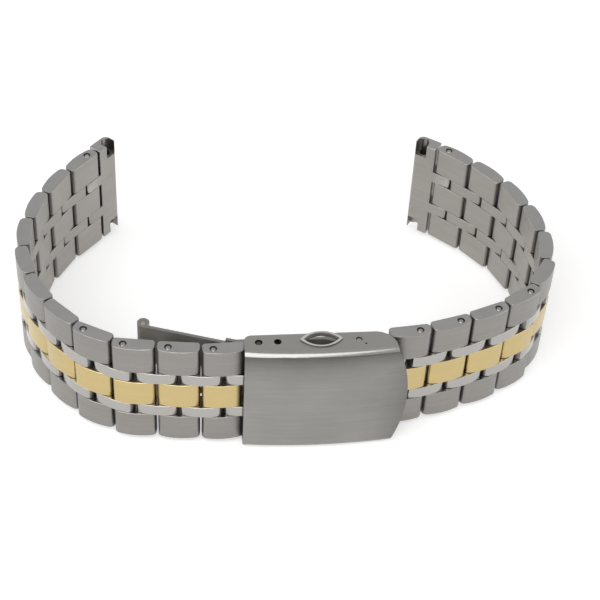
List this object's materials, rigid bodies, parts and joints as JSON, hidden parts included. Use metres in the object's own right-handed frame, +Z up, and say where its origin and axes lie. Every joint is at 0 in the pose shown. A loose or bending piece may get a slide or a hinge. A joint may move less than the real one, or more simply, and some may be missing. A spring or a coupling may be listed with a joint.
{
  "type": "watch bracelet",
  "caption": "Two-tone metal watch bracelet of hinged multi-row links with straight spring bar ends and a stamped fold-over clasp, standing on its edge and curved to a wrist.",
  "frame": {"origin": "centre of the underside of the whole outline, on the surface on which the bracelet stands on its edge", "axes": "+X along the clasp cover from its straight end to its round end, +Y from the clasp towards the open watch ends, +Z up across the width of the band"},
  "size_m": [0.0904, 0.0573, 0.022],
  "materials": {
    "steel_links": "brushed outer rows, polished narrow rows, satin inside",
    "gold_centre_links": "pale gold plating, smooth satin",
    "end_pieces": "fine satin",
    "clasp_cover": "brushed along the band, polished bends",
    "blades": "satin stamped sheet",
    "pins": "polished steel"
  },
  "bodies": {
    "clasp": {"clasp_cover": "clasp_cover", "spring_bar": "pins", "cover_pin": "pins"},
    "frame_blade": {"frame_blade": "blades", "blade_pin": "pins"},
    "inner_blade": {"inner_blade": "blades"},
    "left_11": {"left_11_steel": "steel_links", "left_11_gold": "gold_centre_links"},
    "left_10": {"left_10_steel": "steel_links", "left_10_gold": "gold_centre_links"},
    "left_09": {"left_09_steel": "steel_links", "left_09_gold": "gold_centre_links"},
    "left_08": {"left_08_steel": "steel_links", "left_08_gold": "gold_centre_links"},
    "left_07": {"left_07_steel": "steel_links", "left_07_gold": "gold_centre_links"},
    "left_06": {"left_06_steel": "steel_links", "left_06_gold": "gold_centre_links"},
    "left_05": {"left_05_steel": "steel_links", "left_05_gold": "gold_centre_links"},
    "left_04": {"left_04_steel": "steel_links", "left_04_gold": "gold_centre_links"},
    "left_03": {"left_03_steel": "steel_links", "left_03_gold": "gold_centre_links"},
    "left_02": {"left_02_steel": "steel_links", "left_02_gold": "gold_centre_links"},
    "left_01": {"left_01_steel": "steel_links", "left_01_gold": "gold_centre_links"},
    "left_end_piece": {"left_end_piece": "end_pieces"},
    "right_10": {"right_10_steel": "steel_links", "right_10_gold": "gold_centre_links", "strap_pin": "pins"},
    "right_09": {"right_09_steel": "steel_links", "right_09_gold": "gold_centre_links"},
    "right_08": {"right_08_steel": "steel_links", "right_08_gold": "gold_centre_links"},
    "right_07": {"right_07_steel": "steel_links", "right_07_gold": "gold_centre_links"},
    "right_06": {"right_06_steel": "steel_links", "right_06_gold": "gold_centre_links"},
    "right_05": {"right_05_steel": "steel_links", "right_05_gold": "gold_centre_links"},
    "right_04": {"right_04_steel": "steel_links", "right_04_gold": "gold_centre_links"},
    "right_03": {"right_03_steel": "steel_links", "right_03_gold": "gold_centre_links"},
    "right_02": {"right_02_steel": "steel_links", "right_02_gold": "gold_centre_links"},
    "right_01": {"right_01_steel": "steel_links", "right_01_gold": "gold_centre_links"},
    "right_end_piece": {"right_end_piece": "end_pieces"}
  },
  "joints": [
    {"name": "clasp_hinge", "type": "hinge", "parent": "clasp", "child": "frame_blade", "pos_m": [0.00925, -0.02541, 0.011], "axis": [0, 0, -1], "range_deg": [0, 165]},
    {"name": "blade_hinge", "type": "hinge", "parent": "frame_blade", "child": "inner_blade", "pos_m": [-0.02448, -0.01809, 0.011], "axis": [0, 0, 1], "range_deg": [0, 165]},
    {"name": "left_hinge_12", "type": "hinge", "parent": "clasp", "child": "left_11", "pos_m": [-0.0066, -0.02541, 0.011], "axis": [0, 0, -1], "range_deg": [-6, 4]},
    {"name": "left_hinge_11", "type": "hinge", "parent": "left_11", "child": "left_10", "pos_m": [-0.01369, -0.02565, 0.011], "axis": [0, 0, -1], "range_deg": [-13, 10]},
    {"name": "left_hinge_10", "type": "hinge", "parent": "left_10", "child": "left_09", "pos_m": [-0.02075, -0.02491, 0.011], "axis": [0, 0, -1], "range_deg": [-8, 23]},
    {"name": "left_hinge_09", "type": "hinge", "parent": "left_09", "child": "left_08", "pos_m": [-0.02777, -0.0238, 0.011], "axis": [0, 0, -1], "range_deg": [-26, 5]},
    {"name": "left_hinge_08", "type": "hinge", "parent": "left_08", "child": "left_07", "pos_m": [-0.03391, -0.02025, 0.011], "axis": [0, 0, -1], "range_deg": [-23, 8]},
    {"name": "left_hinge_07", "type": "hinge", "parent": "left_07", "child": "left_06", "pos_m": [-0.03867, -0.01497, 0.011], "axis": [0, 0, -1], "range_deg": [-17, 14]},
    {"name": "left_hinge_06", "type": "hinge", "parent": "left_06", "child": "left_05", "pos_m": [-0.04222, -0.00883, 0.011], "axis": [0, 0, -1], "range_deg": [-20, 11]},
    {"name": "left_hinge_05", "type": "hinge", "parent": "left_05", "child": "left_04", "pos_m": [-0.04405, -0.00197, 0.011], "axis": [0, 0, -1], "range_deg": [-22, 9]},
    {"name": "left_hinge_04", "type": "hinge", "parent": "left_04", "child": "left_03", "pos_m": [-0.04381, 0.00513, 0.011], "axis": [0, 0, -1], "range_deg": [-20, 11]},
    {"name": "left_hinge_03", "type": "hinge", "parent": "left_03", "child": "left_02", "pos_m": [-0.04173, 0.01192, 0.011], "axis": [0, 0, -1], "range_deg": [-18, 13]},
    {"name": "left_hinge_02", "type": "hinge", "parent": "left_02", "child": "left_01", "pos_m": [-0.03818, 0.01807, 0.011], "axis": [0, 0, -1], "range_deg": [-16, 15]},
    {"name": "left_hinge_01", "type": "hinge", "parent": "left_01", "child": "left_end_piece", "pos_m": [-0.03352, 0.02343, 0.011], "axis": [0, 0, -1], "range_deg": [-5, 26]},
    {"name": "right_hinge_11", "type": "hinge", "parent": "inner_blade", "child": "right_10", "pos_m": [0.0124, -0.02376, 0.011], "axis": [0, 0, 1], "range_deg": [-11, 20]},
    {"name": "right_hinge_10", "type": "hinge", "parent": "right_10", "child": "right_09", "pos_m": [0.01946, -0.02301, 0.011], "axis": [0, 0, 1], "range_deg": [-14, 17]},
    {"name": "right_hinge_09", "type": "hinge", "parent": "right_09", "child": "right_08", "pos_m": [0.02632, -0.02118, 0.011], "axis": [0, 0, 1], "range_deg": [-11, 20]},
    {"name": "right_hinge_08", "type": "hinge", "parent": "right_08", "child": "right_07", "pos_m": [0.03295, -0.01863, 0.011], "axis": [0, 0, 1], "range_deg": [-16, 15]},
    {"name": "right_hinge_07", "type": "hinge", "parent": "right_07", "child": "right_06", "pos_m": [0.03897, -0.01487, 0.011], "axis": [0, 0, 1], "range_deg": [-29, 2]},
    {"name": "right_hinge_06", "type": "hinge", "parent": "right_06", "child": "right_05", "pos_m": [0.04294, -0.00898, 0.011], "axis": [0, 0, 1], "range_deg": [-30, 1]},
    {"name": "right_hinge_05", "type": "hinge", "parent": "right_05", "child": "right_04", "pos_m": [0.04405, -0.00197, 0.011], "axis": [0, 0, 1], "range_deg": [-22, 9]},
    {"name": "right_hinge_04", "type": "hinge", "parent": "right_04", "child": "right_03", "pos_m": [0.04307, 0.00506, 0.011], "axis": [0, 0, 1], "range_deg": [-18, 13]},
    {"name": "right_hinge_03", "type": "hinge", "parent": "right_03", "child": "right_02", "pos_m": [0.04052, 0.01169, 0.011], "axis": [0, 0, 1], "range_deg": [-20, 11]},
    {"name": "right_hinge_02", "type": "hinge", "parent": "right_02", "child": "right_01", "pos_m": [0.03635, 0.01743, 0.011], "axis": [0, 0, 1], "range_deg": [-15, 16]},
    {"name": "right_hinge_01", "type": "hinge", "parent": "right_01", "child": "right_end_piece", "pos_m": [0.03124, 0.02237, 0.011], "axis": [0, 0, 1], "range_deg": [-13, 18]}
  ],
  "couplings": [
    {"joint": "blade_hinge", "follows": "clasp_hinge", "ratio": 1}
  ]
}
